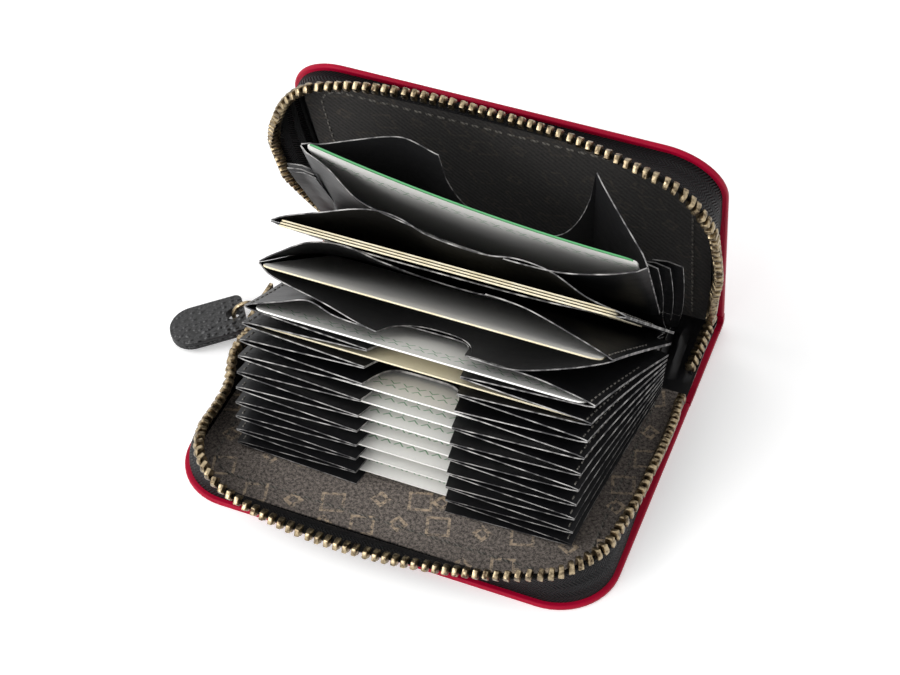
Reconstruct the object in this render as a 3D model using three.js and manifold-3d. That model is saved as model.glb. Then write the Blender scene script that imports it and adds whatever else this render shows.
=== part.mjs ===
// Zip card holder: a zip-round leather case lying open, with a fan of card pockets inside.
// Millimetres, +Z up. X runs along the spine and +Y points to the spine. The origin is under the
// middle of the bottom cover, on the surface that the case lies on.
import * as THREE from "three";
import { mergeVertices } from "three/addons/utils/BufferGeometryUtils.js";
import Module from "manifold-3d";

const wasm = await Module();
wasm.setup();

// Case: two covers joined by a spine, and how far it stands open. Angles are in degrees.
const caseLength = 116;
const coverDepth = 79;
const caseThickness = 31;
const cornerRadius = 16;
const spineTilt = 2;
const coverLean = 72;

// Layers of a cover, from the outside in
const leatherThickness = 1.5;
const boardThickness = 0.7;
const liningThickness = 0.4;
const layerGap = 0.1;
const foldGap = 0.15;
const boardMargin = 1.6;
const liningMargin = 0.7;
const liningFoldGap = 1.7;

// Zip: a tape on the three free edges of each cover, with a row of teeth on its edge
const tapeInset = 1.8;
const tapeThickness = 0.9;
const tapeFoldGap = 3;
const tapeEndHeight = 1.7;
const tapeSlopeRun = 34;
const toothPitch = 2.5;
const toothWidth = 1.3;
const toothDepth = 3;
const toothHeight = 2.6;
const meetingGap = 0.3;
const beadMargin = 0.2;
const beadHeight = 0.7;
const stopLength = 2.2;

// How far each soft tape leans outward, in degrees, at shares of its length from the cover's left end
const bottomLean = [
  [0, 0], [0.15, 0], [0.2, -28], [0.27, -25], [0.31, 0], [0.34, 33], [0.39, 56], [0.45, 66], [0.51, 65],
  [0.57, 55], [0.635, 35], [0.68, 8], [0.717, -14], [0.77, -5], [0.835, 9], [0.95, 12], [0.98, 0], [1, 0],
];
const topLean = [
  [0, 0], [0.03, 0], [0.06, 12], [0.134, 20], [0.166, 24], [0.235, 14], [0.275, 12], [0.31, 30], [0.34, 43],
  [0.377, 57], [0.425, 69], [0.5, 75], [0.575, 75], [0.635, 65], [0.675, 48], [0.71, 20], [0.737, 11],
  [0.77, 25], [0.81, 44], [0.87, 42], [0.93, 25], [0.98, 0], [1, 0],
];
const fullLeanShare = 0.62;

// Cards, and how far each pocket's card stands out of the mouth; null is an empty pocket
const cardLength = 85.6;
const cardWidth = 54;
const cardThickness = 0.4;
const cardRadius = 3.2;
const cardOut = [-1, -1.5, -1, -2, -1, -1.5, -1, null, 0, 1, 5, 2, 4];

// Pockets: two thin walls each, fanned out about a line above the spine
const cardSideMargin = 2.2;
const cardEndMargin = 4;
const cardClearance = 0.1;
const wallThickness = 0.25;
const notchWidth = 22;
const notchDepth = 13;
const notchRadius = 4;
const fanBehindFold = 18.5;
const fanSeatGap = 0.24;
const rootClearance = 0.156;
const stackAngle = 1.5;
const stackStep = 3.2;
const stackCount = 10;
const upperAngles = [38.5, 46, 56.2];

// Bellows behind the pockets and gussets at the spine's ends
const bellowsMargin = 3;
const bellowsRootInner = 4.5;
const bellowsRootOuter = 8;
const bellowsGap = 0.5;
const pleatThickness = 0.3;
const gussetMargin = 1.5;
const gussetEndMargin = 1.1;
const gussetSpineGap = 4;
const gussetHeight = 6;

// Slider, ring and pull tab
const sliderFromFold = 18;
const sliderLength = 9;
const wingThickness = 1;
const wingClearance = 0.4;
const wingBelow = 2.6;
const wingAbove = 6;
const postLength = 2.4;
const postHeight = 2;
const postClearance = 0.8;
const bailWire = 1.2;
const bailWidth = 6.4;
const bailSeat = 0.2;
const ringRadius = 3.8;
const ringWire = 1.4;
const ringSlack = 0.5;
const tabHeading = 215;
const tabPitch = 9;
const tabLength = 17.8;
const tabWidth = 14;
const tabThickness = 2.6;
const tabCorner = 2;
const tabEyeSlack = 1.1;
const tabEyeWall = 1.4;

// Facets
const cornerSegments = 8;
const smallSegments = 5;
const ringSegments = 20;
const wireSides = 8;
const tapeSegments = 165;
const tapeLevels = 4;

// Finishes
const redLeather = { color: 0xb3122f, roughness: 0.45, metalness: 0 };
const greyBoard = { color: 0x8d8a84, roughness: 0.9, metalness: 0 };
const liningCloth = { color: 0x4a4440, roughness: 0.95, metalness: 0 };
const blackTape = { color: 0x232225, roughness: 0.9, metalness: 0 };
const agedBrass = { color: 0x8f7a54, roughness: 0.4, metalness: 0.9 };
const blackSheet = { color: 0x17171a, roughness: 0.5, metalness: 0 };
const whiteCard = { color: 0xe9e7e0, roughness: 0.6, metalness: 0 };
const pebbledLeather = { color: 0x2a292c, roughness: 0.6, metalness: 0 };

// Sizes that follow from the ones above
const { degToRad } = THREE.MathUtils;
const foldHeight = leatherThickness;
const spineWidth = caseThickness - 2 * leatherThickness;
const boardBottom = leatherThickness + layerGap;
const liningBottom = boardBottom + boardThickness + layerGap;
const liningTop = liningBottom + liningThickness;
const liningInset = tapeInset + tapeThickness + liningMargin;
const boardInset = liningInset + boardMargin;
const tapeMiddle = tapeInset + tapeThickness / 2;
const tapeBottom = leatherThickness + layerGap;
const toothGap = layerGap;
const tapeFullTop = (caseThickness - meetingGap) / 2 - toothHeight - toothGap;
const tapeEndTop = tapeBottom + tapeEndHeight;
const tapeSlopeEnd = tapeFoldGap + tapeSlopeRun;
const tilt = degToRad(spineTilt);
const pocketWidth = cardLength + 2 * cardSideMargin;
const pocketDepth = cardWidth + cardEndMargin;
const wallOffset = cardThickness / 2 + cardClearance;
const pocketThickness = 2 * (wallOffset + wallThickness);

const holder = new THREE.Group();

// Frames that the pieces are placed in
function addFrame(parent, y, z, turnX, turnY = 0) {
  const frame = new THREE.Group();
  frame.position.set(0, y, z);
  frame.rotation.set(turnX, turnY, 0);
  parent.add(frame);
  return frame;
}

function addPiece(parent, name, geometry, finish) {
  geometry.computeVertexNormals();
  const mesh = new THREE.Mesh(geometry, new THREE.MeshStandardMaterial(finish));
  mesh.name = name;
  parent.add(mesh);
  return mesh;
}

// A geometry as a solid that can be joined and cut, and back
function toSolid(geometry) {
  const bare = new THREE.BufferGeometry();
  bare.setAttribute("position", geometry.getAttribute("position"));
  bare.setIndex(geometry.index);
  const merged = mergeVertices(bare, 1e-4);
  const vertProperties = merged.attributes.position.array;
  const triVerts = new Uint32Array(merged.index.array);
  return new wasm.Manifold(new wasm.Mesh({ numProp: 3, vertProperties, triVerts }));
}

function toGeometry(solid) {
  const mesh = solid.getMesh();
  const geometry = new THREE.BufferGeometry();
  geometry.setAttribute("position", new THREE.BufferAttribute(mesh.vertProperties, 3));
  geometry.setIndex(new THREE.BufferAttribute(mesh.triVerts, 1));
  return geometry;
}

function joined(solids) {
  return solids.reduce((all, solid) => all.add(solid));
}

function box(width, depth, height, x, y, z) {
  return toSolid(new THREE.BoxGeometry(width, depth, height).translate(x, y, z));
}

// A flat outline in X and Y, filled from one height to another
function plate(shape, bottom, top, segments = cornerSegments) {
  const options = { depth: top - bottom, bevelEnabled: false, curveSegments: segments };
  return new THREE.ExtrudeGeometry(shape, options).translate(0, 0, bottom);
}

// An outline in Y and Z, extruded along X about the middle
function prism(shape, width, segments = cornerSegments) {
  const options = { depth: width, bevelEnabled: false, curveSegments: segments };
  const turn = new THREE.Matrix4().makeBasis(
    new THREE.Vector3(0, 1, 0),
    new THREE.Vector3(0, 0, 1),
    new THREE.Vector3(1, 0, 0),
  );
  return new THREE.ExtrudeGeometry(shape, options).applyMatrix4(turn).translate(-width / 2, 0, 0);
}

function polygon(points) {
  return new THREE.Shape(points.map(([x, y]) => new THREE.Vector2(x, y)));
}

// A cover lies in its own frame: the fold is the X axis, the free edges are towards -Y,
// and heights count from the fold's own height, so the leather is just below zero.
function traceRim(path, inset, foldDistance) {
  const side = caseLength / 2 - inset;
  const cornerX = caseLength / 2 - cornerRadius;
  const cornerY = cornerRadius - coverDepth;
  const radius = cornerRadius - inset;
  path.moveTo(-side, -foldDistance);
  path.lineTo(-side, cornerY);
  path.absarc(-cornerX, cornerY, radius, Math.PI, 1.5 * Math.PI, false);
  path.lineTo(cornerX, inset - coverDepth);
  path.absarc(cornerX, cornerY, radius, 1.5 * Math.PI, 2 * Math.PI, false);
  path.lineTo(side, -foldDistance);
  return path;
}

function coverShape(inset, foldDistance) {
  const shape = traceRim(new THREE.Shape(), inset, foldDistance);
  shape.closePath();
  return shape;
}

// The tape's edge runs level, and slopes down to the spine near the fold
function tapeTop(foldDistance) {
  const along = Math.min(foldDistance, tapeSlopeEnd) - tapeFoldGap;
  return tapeEndTop + ((tapeFullTop - tapeEndTop) * along) / tapeSlopeRun;
}

function leanAt(lean, share) {
  const next = Math.max(1, lean.findIndex(([at]) => at >= share));
  const [[from, low], [to, high]] = lean.slice(next - 1, next + 1);
  return degToRad(low + ((high - low) * (share - from)) / (to - from));
}

// Places on the tape at a share of its length, from its foot to its edge, each with the tape's own
// directions: along the rim, outward and up. The tape stands up at its foot and leans above it.
function tapePlaces(row, lean, share) {
  const point = row.getPoint(share);
  const run = row.getTangent(share);
  const along = new THREE.Vector3(run.x, run.y, 0);
  const normal = new THREE.Vector3(run.y, -run.x, 0);
  const step = (tapeTop(-point.y) - tapeBottom) / tapeLevels;
  const tilt = (level) => leanAt(lean, share) * Math.min(1, level / tapeLevels / fullLeanShare);
  const rise = (angle) => normal.clone().multiplyScalar(Math.sin(angle)).setZ(Math.cos(angle));
  const spot = new THREE.Vector3(point.x, point.y, tapeBottom - foldHeight);
  const places = [];
  for (let level = 0; level <= tapeLevels; level++) {
    if (level > 0) spot.addScaledVector(rise((tilt(level - 1) + tilt(level)) / 2), step);
    const up = rise(tilt(level));
    places.push({ spot: spot.clone(), along, up, out: up.clone().cross(along).negate() });
  }
  return places;
}

// A solid through outlines of one size, each with its second side listed backwards, closed at both ends
function loft(outlines) {
  const size = outlines[0].length;
  const index = [];
  for (let i = 0; i + 1 < outlines.length; i++) {
    for (let k = 0; k < size; k++) {
      const [a, b] = [i * size + k, i * size + ((k + 1) % size)];
      index.push(a, a + size, b, b, a + size, b + size);
    }
  }
  const last = (outlines.length - 1) * size;
  for (let k = 0; k + 1 < size / 2; k++) {
    const [a, b, c, d] = [k, k + 1, size - 2 - k, size - 1 - k];
    index.push(a, b, d, b, c, d, last + d, last + b, last + a, last + d, last + c, last + b);
  }
  const geometry = new THREE.BufferGeometry();
  const positions = outlines.flat().flatMap((point) => point.toArray());
  geometry.setAttribute("position", new THREE.Float32BufferAttribute(positions, 3));
  geometry.setIndex(index);
  return toSolid(geometry);
}

function rimShares(first, last) {
  const shares = Array.from({ length: tapeSegments + 1 }, (_, i) => i / tapeSegments);
  return [first, ...shares.filter((share) => share > first && share < last), last];
}

function zipTape(row, lean) {
  const outlines = rimShares(0, 1).map((share) => {
    const places = tapePlaces(row, lean, share);
    const side = (way) => ({ spot, out }) => spot.clone().addScaledVector(out, (way * tapeThickness) / 2);
    return [...places.map(side(1)), ...places.map(side(-1)).reverse()];
  });
  return toGeometry(loft(outlines));
}

function zipTeeth(row, lean, phase) {
  const halfBead = toothDepth / 2 + beadMargin;
  const ends = (stopLength + layerGap) / row.getLength();
  const outlines = rimShares(ends, 1 - ends).map((share) => {
    const { spot, out, up } = tapePlaces(row, lean, share).at(-1);
    const corner = (x, z) => spot.clone().addScaledVector(out, x).addScaledVector(up, z);
    const [low, high] = [toothGap, toothGap + beadHeight];
    return [corner(halfBead, low), corner(halfBead, high), corner(-halfBead, high), corner(-halfBead, low)];
  });
  const solids = [loft(outlines)];
  const count = Math.floor((row.getLength() * (1 - 2 * ends)) / toothPitch);
  const sunk = beadHeight / 2;
  const height = toothHeight - sunk;
  for (let i = 0; i < count; i++) {
    const share = ends + ((i + phase) / count) * (1 - 2 * ends);
    const { spot, along, out, up } = tapePlaces(row, lean, share).at(-1);
    const middle = spot.addScaledVector(up, toothGap + sunk + height / 2);
    const place = new THREE.Matrix4().makeBasis(along.clone().negate(), out, up).setPosition(middle);
    solids.push(toSolid(new THREE.BoxGeometry(toothWidth, toothDepth, height).applyMatrix4(place)));
  }
  return toGeometry(joined(solids));
}

// A clip on the tape's end that keeps the slider on the teeth
function zipStop(side) {
  const distance = tapeFoldGap + stopLength / 2;
  const middle = tapeTop(distance + stopLength / 2) + toothGap + toothHeight / 2 - foldHeight;
  const across = caseLength / 2 - tapeMiddle;
  return toGeometry(box(toothDepth, stopLength, toothHeight, side * across, -distance, middle));
}

function addCover(frame, name, lean, phase, slideSide) {
  const row = traceRim(new THREE.Path(), tapeMiddle, tapeFoldGap);
  const leather = plate(coverShape(0, foldGap), -foldHeight, leatherThickness - foldHeight);
  const boardAt = boardBottom - foldHeight;
  const liningAt = liningBottom - foldHeight;
  const board = plate(coverShape(boardInset, boardInset), boardAt, boardAt + boardThickness);
  const lining = plate(coverShape(liningInset, liningFoldGap), liningAt, liningAt + liningThickness);
  addPiece(frame, `${name}_cover`, leather, redLeather);
  addPiece(frame, `${name}_board`, board, greyBoard);
  addPiece(frame, `${name}_lining`, lining, liningCloth);
  addPiece(frame, `${name}_zip_tape`, zipTape(row, lean), blackTape);
  addPiece(frame, `${name}_zip_teeth`, zipTeeth(row, lean, phase), agedBrass);
  addPiece(frame, `${name}_zip_stop`, zipStop(slideSide), agedBrass);
}

// The spine lies in a frame whose X axis is its fold with the bottom cover, and runs towards +Y
function addSpine(frame) {
  const middle = spineWidth / 2;
  const leatherDepth = spineWidth - 2 * foldGap;
  const leather = box(caseLength, leatherDepth, leatherThickness, 0, middle, -foldHeight / 2);
  const liningLength = caseLength - 2 * liningInset;
  const liningDepth = spineWidth - 2 * liningFoldGap;
  const liningMiddle = layerGap + liningThickness / 2;
  const lining = box(liningLength, liningDepth, liningThickness, 0, middle, liningMiddle);
  addPiece(frame, "spine_cover", toGeometry(leather), redLeather);
  addPiece(frame, "spine_lining", toGeometry(lining), liningCloth);

  // The leather rounds the fold to the top cover: a quarter of a ring about the fold
  const clear = foldGap / leatherThickness;
  const fold = new THREE.Shape();
  fold.absarc(spineWidth, 0, leatherThickness, clear - Math.PI / 2, -clear, false);
  fold.absarc(spineWidth, 0, foldGap, -clear, clear - Math.PI / 2, true);
  addPiece(frame, "spine_fold", prism(fold, caseLength), redLeather);

  // A soft folded gusset closes each end of the spine
  const gussetBottom = layerGap * 2 + liningThickness;
  const gussetEnd = spineWidth - gussetSpineGap;
  const gussetFrom = pocketWidth / 2 + gussetMargin;
  const gussetWidth = liningLength / 2 - gussetEndMargin - gussetFrom;
  const gusset = new THREE.Shape();
  gusset.moveTo(gussetSpineGap, gussetBottom);
  gusset.lineTo(gussetEnd, gussetBottom);
  gusset.quadraticCurveTo(middle + gussetSpineGap, gussetBottom, middle, gussetBottom + gussetHeight);
  gusset.quadraticCurveTo(middle - gussetSpineGap, gussetBottom, gussetSpineGap, gussetBottom);
  for (const [side, sign] of [["left", -1], ["right", 1]]) {
    const shape = prism(gusset, gussetWidth, smallSegments);
    shape.translate(sign * (gussetFrom + gussetWidth / 2), 0, 0);
    addPiece(frame, `spine_gusset_${side}`, shape, blackSheet);
  }
}

// The pockets fan out about one line, each at its own angle above the bottom cover
const fanY = coverDepth / 2 + fanBehindFold;
const fanRadius = (pocketThickness + rootClearance) / (2 * Math.sin(degToRad(stackStep / 2)));
const stackAngles = Array.from({ length: stackCount }, (_, i) => stackAngle + stackStep * i);
const pocketAngles = [...stackAngles, ...upperAngles].map(degToRad);

// That line clears both the bottom cover's lining, under the lowest pocket, and the spine's lining
const lowestRoot = liningTop + fanSeatGap + pocketThickness / 2;
const spineTop = foldHeight + fanBehindFold * Math.sin(tilt) + layerGap + liningThickness;
const fanHeight = Math.max(lowestRoot - fanRadius * Math.sin(pocketAngles[0]), spineTop + fanSeatGap);

function wallShape() {
  const side = pocketWidth / 2;
  const notch = notchWidth / 2;
  const notchEnd = notchDepth - pocketDepth;
  const shape = new THREE.Shape();
  shape.moveTo(-side, 0);
  shape.lineTo(-side, -pocketDepth);
  shape.lineTo(-notch, -pocketDepth);
  shape.lineTo(-notch, notchEnd - notchRadius);
  shape.absarc(notchRadius - notch, notchEnd - notchRadius, notchRadius, Math.PI, Math.PI / 2, true);
  shape.absarc(notch - notchRadius, notchEnd - notchRadius, notchRadius, Math.PI / 2, 0, true);
  shape.lineTo(notch, -pocketDepth);
  shape.lineTo(side, -pocketDepth);
  shape.lineTo(side, 0);
  return shape;
}

function cardShape(out) {
  const side = cardLength / 2;
  const front = -pocketDepth - out;
  const back = front + cardWidth;
  const r = cardRadius;
  const shape = new THREE.Shape();
  shape.absarc(r - side, front + r, r, Math.PI, 1.5 * Math.PI, false);
  shape.absarc(side - r, front + r, r, 1.5 * Math.PI, 2 * Math.PI, false);
  shape.absarc(side - r, back - r, r, 0, Math.PI / 2, false);
  shape.absarc(r - side, back - r, r, Math.PI / 2, Math.PI, false);
  return shape;
}

function addPocket(number, angle, out) {
  const y = fanY - fanRadius * Math.cos(angle);
  const z = fanHeight + fanRadius * Math.sin(angle);
  const frame = addFrame(holder, y, z, -angle);
  const label = String(number).padStart(2, "0");
  const lower = plate(wallShape(), -wallOffset - wallThickness, -wallOffset, smallSegments);
  const upper = plate(wallShape(), wallOffset, wallOffset + wallThickness, smallSegments);
  addPiece(frame, `pocket_${label}_lower_wall`, lower, blackSheet);
  addPiece(frame, `pocket_${label}_upper_wall`, upper, blackSheet);
  if (out === null) {
    return;
  }
  const card = plate(cardShape(out), -cardThickness / 2, cardThickness / 2, smallSegments);
  addPiece(frame, `card_${label}`, card, whiteCard);
}

// Pleats of the bellows run from a common root on the spine to the back of each pocket
function addBellows() {
  const bellowsWidth = pocketWidth - 2 * bellowsMargin;
  const last = pocketAngles.at(-1);
  const root = new THREE.Shape();
  root.absarc(0, 0, bellowsRootOuter, Math.PI, Math.PI - last, true);
  root.absarc(0, 0, bellowsRootInner, Math.PI - last, Math.PI, false);
  const solids = [toSolid(prism(root, bellowsWidth))];
  const overlap = (bellowsRootOuter - bellowsRootInner) / 2;
  const start = bellowsRootOuter - overlap;
  const length = fanRadius - bellowsGap - start;
  for (const angle of pocketAngles.slice(1)) {
    const pleat = new THREE.BoxGeometry(bellowsWidth, length, pleatThickness);
    pleat.translate(0, -start - length / 2, 0).rotateX(-angle);
    solids.push(toSolid(pleat));
  }
  const frame = addFrame(holder, fanY, fanHeight, 0);
  addPiece(frame, "pocket_bellows", toGeometry(joined(solids)), blackSheet);
}

// The slider straddles the bottom row of teeth on the left
const sliderX = tapeMiddle - caseLength / 2;
const sliderTapeTop = tapeTop(sliderFromFold) - foldHeight;
const wingOffset = toothDepth / 2 + wingClearance + wingThickness / 2;
const wingBottom = sliderTapeTop - wingBelow;
const wingHeight = wingBelow + wingAbove;
const bailOpening = ringWire + 2 * ringSlack;
const bailX = sliderX - wingOffset - wingThickness / 2 - bailOpening - bailWire / 2;
const bailZ = wingBottom + bailSeat + bailWire / 2;

function addSlider(frame) {
  const y = -sliderFromFold;
  const wingMiddle = wingBottom + wingHeight / 2;
  const postMiddle = sliderTapeTop + toothGap + toothHeight + postClearance + postHeight / 2;
  const legReach = bailOpening + bailWire;
  const legX = bailX - bailWire / 2 + legReach / 2;
  const legOffset = (bailWidth - bailWire) / 2;
  const solids = [
    box(wingThickness, sliderLength, wingHeight, sliderX - wingOffset, y, wingMiddle),
    box(wingThickness, sliderLength, wingHeight, sliderX + wingOffset, y, wingMiddle),
    box(2 * wingOffset, postLength, postHeight, sliderX, y, postMiddle),
    box(bailWire, bailWidth, bailWire, bailX, y, bailZ),
    box(legReach, bailWire, bailWire, legX, y - legOffset, bailZ),
    box(legReach, bailWire, bailWire, legX, y + legOffset, bailZ),
  ];
  addPiece(frame, "zip_slider", toGeometry(joined(solids)), agedBrass);
}

// The pull lies in a frame at the bail's bar: X runs along the tab and down to the table
function addPullFrame(parent) {
  const frame = new THREE.Group();
  frame.position.set(bailX, -sliderFromFold, bailZ);
  frame.rotation.set(0, degToRad(tabPitch), degToRad(tabHeading), "ZYX");
  parent.add(frame);
  return frame;
}

// The ring hangs on the bar, upright, and passes through the eye in the tab
const ringFromBail = ringRadius - (bailWire / 2 + ringSlack + ringWire / 2);
const eyeFromBail = ringFromBail + ringRadius;

function addRing(frame) {
  const ring = new THREE.TorusGeometry(ringRadius, ringWire / 2, wireSides, ringSegments);
  ring.rotateX(Math.PI / 2).translate(ringFromBail, 0, 0);
  addPiece(frame, "pull_ring", toGeometry(toSolid(ring)), agedBrass);
}

function addTab(frame) {
  const side = tabWidth / 2;
  const eyeRadius = ringWire / 2 + tabEyeSlack;
  const start = eyeFromBail - eyeRadius - tabEyeWall;
  const end = eyeFromBail + tabLength;
  const shape = new THREE.Shape();
  shape.moveTo(start, tabCorner - side);
  shape.absarc(start + tabCorner, tabCorner - side, tabCorner, Math.PI, 1.5 * Math.PI, false);
  shape.absarc(end - side, 0, side, -Math.PI / 2, Math.PI / 2, false);
  shape.absarc(start + tabCorner, side - tabCorner, tabCorner, Math.PI / 2, Math.PI, false);
  const eye = new THREE.Path();
  eye.absarc(eyeFromBail, 0, eyeRadius, 0, 2 * Math.PI, true);
  shape.holes.push(eye);
  const tab = plate(shape, -tabThickness / 2, tabThickness / 2);
  addPiece(frame, "pull_tab", tab, pebbledLeather);
}

// Assembly
const spineFoldY = coverDepth / 2;
const coverFoldY = spineFoldY + spineWidth * Math.cos(tilt);
const coverFoldZ = foldHeight + spineWidth * Math.sin(tilt);
const bottomFrame = addFrame(holder, spineFoldY, foldHeight, 0);
const spineFrame = addFrame(holder, spineFoldY, foldHeight, tilt);
const topFrame = addFrame(holder, coverFoldY, coverFoldZ, -degToRad(coverLean), Math.PI);

addCover(bottomFrame, "bottom", bottomLean, 0.25, -1);
addCover(topFrame, "top", topLean, 0.25, 1);
addSpine(spineFrame);
pocketAngles.forEach((angle, i) => addPocket(i + 1, angle, cardOut[i]));
addBellows();
addSlider(bottomFrame);
const pullFrame = addPullFrame(bottomFrame);
addRing(pullFrame);
addTab(pullFrame);

export default holder;
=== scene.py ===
"""Looks of a zip card holder: leather covers, brass zip, cloth lining and a fan of card pockets."""

from functools import partial
from math import copysign, cos, hypot, pi, radians, sin
from types import SimpleNamespace

import bpy
from bpy.props import FloatProperty, FloatVectorProperty, IntProperty, PointerProperty
from mathutils import Matrix, Vector


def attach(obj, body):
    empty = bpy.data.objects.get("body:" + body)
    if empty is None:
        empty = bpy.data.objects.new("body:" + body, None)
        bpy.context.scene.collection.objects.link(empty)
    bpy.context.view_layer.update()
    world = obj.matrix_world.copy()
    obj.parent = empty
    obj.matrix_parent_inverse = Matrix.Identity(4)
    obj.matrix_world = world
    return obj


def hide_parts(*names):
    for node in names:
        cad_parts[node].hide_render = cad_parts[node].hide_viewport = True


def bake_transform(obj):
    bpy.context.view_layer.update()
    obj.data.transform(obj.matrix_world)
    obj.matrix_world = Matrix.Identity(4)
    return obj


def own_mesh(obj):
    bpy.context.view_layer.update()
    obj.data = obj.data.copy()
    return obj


bl_info = {
    "name": "Zip Card Holder",
    "version": (1, 0, 0),
    "blender": (4, 5, 0),
    "location": "View3D > Sidebar > Card Holder",
    "description": "Dresses the parts of a zip card holder and sets its studio",
    "category": "Object",
}

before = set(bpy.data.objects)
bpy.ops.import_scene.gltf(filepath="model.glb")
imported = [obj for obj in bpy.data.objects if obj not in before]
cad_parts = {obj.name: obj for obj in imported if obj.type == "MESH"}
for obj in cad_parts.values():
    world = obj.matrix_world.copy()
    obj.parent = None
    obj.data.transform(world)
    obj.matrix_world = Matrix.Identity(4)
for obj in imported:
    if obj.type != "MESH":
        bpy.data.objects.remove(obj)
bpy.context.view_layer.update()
MM = 0.001


def srgb(text):
    """Gives the linear RGBA of an sRGB hex colour."""
    values = [int(text[i:i + 2], 16) / 255 for i in (1, 3, 5)]
    return tuple(v / 12.92 if v <= 0.04045 else ((v + 0.055) / 1.055) ** 2.4 for v in values) + (1.0,)


def length(name, description, millimetres):
    """Gives a length property with its default in millimetres."""
    return FloatProperty(name=name, description=description, default=millimetres * MM, unit="LENGTH", precision=5)


def angle(name, description, degrees):
    """Gives an angle property with its default in degrees."""
    return FloatProperty(name=name, description=description, default=radians(degrees), subtype="ANGLE")


def colour(name, description, text):
    """Gives a colour property with its default as an sRGB hex colour."""
    return FloatVectorProperty(name=name, description=description, default=srgb(text), size=4, subtype="COLOR")


class HolderSizes(bpy.types.PropertyGroup):
    """Sizes of the case, its zip, its pockets and its pull."""
    case_length: length("Case length", "Length of the covers along the spine", 116)
    cover_depth: length("Cover depth", "Depth of a cover from fold to front edge", 79)
    corner_radius: length("Corner radius", "Radius of the two front corners", 16)
    leather: length("Leather", "Thickness of the outer leather", 1.5)
    crease: length("Crease", "Half width of the soft crease at a fold", 3)
    lining_inset: length("Lining inset", "Lining edge from the leather's edge", 3.4)
    lining_level: length("Lining level", "Underside of the lining above the leather's outer face", 2.4)
    lining: length("Lining", "Thickness of the lining cloth", 0.4)
    stitch_inset: length("Lining stitch inset", "Row of stitches from the lining's edge", 5)
    tape_inset: length("Tape inset", "Middle of the zip tape from the leather's edge, where the slider runs", 2.25)
    tape_top: length("Tape top", "Top edge of the tape above the outer face", 12.65)
    tape_end_top: length("Tape end top", "Top edge of the tape at the fold", 3.2)
    tape_run: length("Tape run", "Length in which the tape rises from the fold", 34)
    tape_gap: length("Tape fold gap", "Tape's end from the fold", 3)
    tape: length("Tape", "Thickness of the zip tape", 0.9)
    stop_length: length("Stop length", "Length of the clip at the end of a row of teeth", 2.3)
    tooth_pitch: length("Tooth pitch", "Distance from tooth to tooth", 2.5)
    tooth_depth: length("Tooth depth", "Size of a tooth across the tape", 3)
    tooth_height: length("Tooth height", "Height of a tooth", 2.6)
    pocket_width: length("Pocket width", "Width of a pocket over its seams", 90)
    pocket_depth: length("Pocket depth", "Depth of a pocket from root to mouth", 58)
    wall: length("Pocket wall", "Thickness of the pocket leatherette", 0.3)
    notch_width: length("Notch width", "Width of the thumb notch", 23)
    notch_depth: length("Notch depth", "Depth of the thumb notch", 13)
    card_length: length("Card length", "Long side of a card", 85.6)
    card_width: length("Card width", "Short side of a card", 54)
    card_radius: length("Card corner", "Corner radius of a card", 3.2)
    card: length("Card", "Thickness of a card", 0.4)
    tab_width: length("Tab width", "Width of the pull tab", 14)
    tab_near: length("Tab start", "Near end of the tab from the bail's bar", 2.6)
    tab_far: length("Tab end", "Far end of the tab from the bail's bar", 23.6)
    tab: length("Tab", "Thickness of the pull tab", 2.6)


class HolderColours(bpy.types.PropertyGroup):
    """Colours of the materials."""
    leather: colour("Leather", "Red of the outer leather", "#ac002d")
    leather_dark: colour("Leather dark", "Deeper red in the leather's mottle", "#900025")
    lining: colour("Lining", "Ground colour of the lining", "#877d75")
    lining_dark: colour("Lining dark", "Dark threads of the lining", "#2e2927")
    lining_print: colour("Lining print", "Tan of the printed motifs", "#b8a48b")
    # the tape's two colours paint a highlight on its ribs and shade between them
    tape: colour("Tape", "Charcoal of the zip tape's ribs", "#19191c")
    tape_dark: colour("Tape dark", "Black between the zip tape's ribs", "#020203")
    brass: colour("Brass", "Worn brass of the teeth", "#ad9c7e")
    brass_dark: colour("Brass patina", "Dark patina on the brass", "#43372a")
    sheet: colour("Pocket sheet", "Near black of the pocket leatherette", "#0e0e10")
    sheet_pale: colour("Pocket sheet pale", "Worn black of the pocket leatherette", "#131315")
    # the cut edge's pale grey is partly its own colour and partly a painted highlight
    cut_edge: colour("Cut edge", "Pale grey of the leatherette's cut edge", "#b2b0ae")
    cut_edge_dark: colour("Cut edge dark", "Dark grey of the leatherette's cut edge", "#343335")
    card: colour("Card", "White of the cards", "#f6f5f1")
    cream: colour("Cream card", "Cream of the older cards", "#e6dcc0")
    card_edge: colour("Card edge", "Cream of the cards' edges", "#cdbd94")
    card_edge_pale: colour("Card edge pale", "Clean cream of the cards' edges", "#efe8d2")
    card_print: colour("Card print", "Green of the cards' printed lines", "#4f9a63")
    # the tab's two blacks paint a highlight on its grains and shade between them
    tab: colour("Tab leather", "Black of the pull tab's grains", "#1e1d20")
    tab_hollow_shade: colour("Tab leather dark", "Black between the pull tab's grains", "#0a0a0b")
    thread: colour("Thread", "Grey of the sewing thread", "#77736c")


class HolderSettings(bpy.types.PropertyGroup):
    """Angles of the fan and the covers, and the number of pockets in the stack."""
    stack_angle: angle("First pocket", "Lift of the lowest pocket", 1.5)
    stack_step: angle("Pocket step", "Angle from pocket to pocket in the stack", 3.2)
    upper: FloatVectorProperty(name="Upper pockets", description="Lift of the three upper pockets",
                               default=(radians(38.5), radians(46), radians(56.2)), subtype="EULER")
    spine_tilt: angle("Spine tilt", "Lift of the spine from the table", 2)
    cover_lean: angle("Cover lean", "Angle of the top cover to the table", 72)
    stack_count: IntProperty(name="Stack", description="Number of pockets in the even stack", default=10, min=2)


# Places of the pieces, in millimetres

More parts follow.
